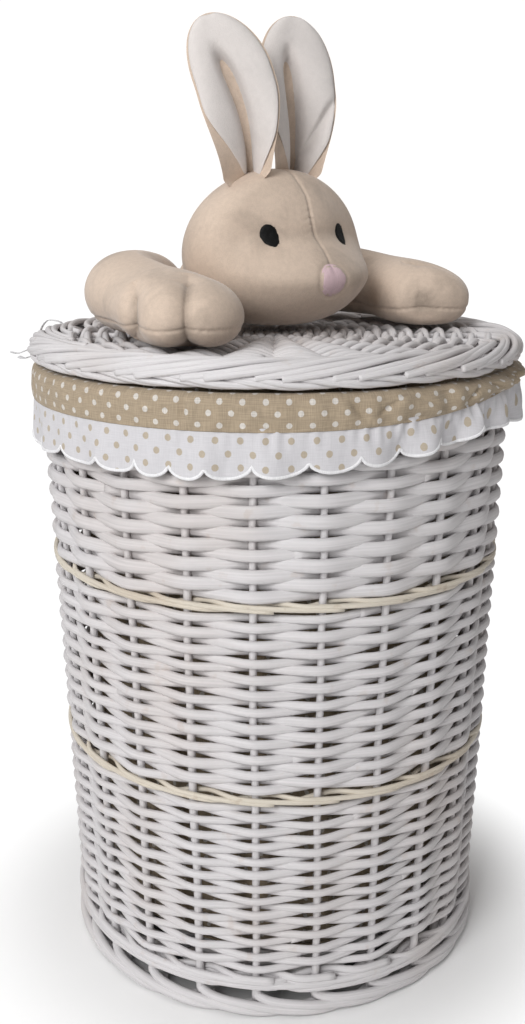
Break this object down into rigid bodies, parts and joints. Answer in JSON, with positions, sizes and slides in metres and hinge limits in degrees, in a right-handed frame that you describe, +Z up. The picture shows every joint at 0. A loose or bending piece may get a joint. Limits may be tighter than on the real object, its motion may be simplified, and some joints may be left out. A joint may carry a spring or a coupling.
{
  "type": "laundry basket woven",
  "caption": "Tall round woven willow laundry basket with a fabric liner, dotted cuff and ruffle, and a hinged lid with a plush rabbit on top.",
  "frame": {"origin": "on the floor, under the centre of the round basket", "axes": "+Z up; the rabbit's face looks along -Y and the lid hinges at +Y; +X is the rabbit's left"},
  "size_m": [0.404, 0.405, 0.774],
  "materials": {
    "willow_white": "painted",
    "willow_cream": "painted",
    "cotton_beige": "woven cotton with white dots",
    "cotton_white": "woven cotton with beige dots",
    "ribbon_white": "satin",
    "plush_beige": "short pile",
    "plush_cream": "short pile",
    "nose_pink": "embroidered satin stitch",
    "eye_black": "embroidered satin stitch"
  },
  "bodies": {
    "basket": {"stake_01": "willow_white", "stake_02": "willow_white", "stake_03": "willow_white", "stake_04": "willow_white", "stake_05": "willow_white", "stake_06": "willow_white", "stake_07": "willow_white", "stake_08": "willow_white", "stake_09": "willow_white", "stake_10": "willow_white", "stake_11": "willow_white", "stake_12": "willow_white", "stake_13": "willow_white", "stake_14": "willow_white", "stake_15": "willow_white", "stake_16": "willow_white", "stake_17": "willow_white", "stake_18": "willow_white", "stake_19": "willow_white", "stake_20": "willow_white", "stake_21": "willow_white", "stake_22": "willow_white", "stake_23": "willow_white", "foot_border": "willow_white", "upset_wale": "willow_white", "woven_wall_lower": "willow_white", "woven_wall_middle": "willow_white", "woven_wall_upper": "willow_white", "rim_border": "willow_white", "base_sticks": "willow_white", "base_weave": "willow_white", "wale_band_lower": "willow_cream", "wale_band_upper": "willow_cream", "liner_bag": "cotton_beige", "liner_cuff": "cotton_beige", "cuff_elastic": "cotton_white", "ruffle": "cotton_white", "tie_knot_right": "ribbon_white", "tie_tails_right": "ribbon_white", "tie_knot_left": "ribbon_white", "tie_tails_left": "ribbon_white"},
    "lid": {"lid_border": "willow_white", "lid_sticks": "willow_white", "lid_weave": "willow_white", "rabbit_head": "plush_beige", "rabbit_torso": "plush_beige", "arm_right": "plush_beige", "arm_left": "plush_beige", "eye_right": "eye_black", "eye_left": "eye_black", "nose": "nose_pink"},
    "ear_right": {"ear_right": "plush_beige", "ear_lining_right": "plush_cream"},
    "ear_left": {"ear_left": "plush_beige", "ear_lining_left": "plush_cream"}
  },
  "joints": [
    {"name": "lid_hinge", "type": "hinge", "parent": "basket", "child": "lid", "pos_m": [0, 0.2025, 0.5085], "axis": [-1, 0, 0], "range_deg": [0, 105]},
    {"name": "ear_right_bend", "type": "hinge", "parent": "lid", "child": "ear_right", "pos_m": [-0.023, 0.01, 0.664], "axis": [1, 0, 0], "range_deg": [-20, 25], "stiffness_Nm_per_rad": 0.05},
    {"name": "ear_left_bend", "type": "hinge", "parent": "lid", "child": "ear_left", "pos_m": [0.023, 0.01, 0.664], "axis": [1, 0, 0], "range_deg": [-20, 25], "stiffness_Nm_per_rad": 0.05}
  ]
}
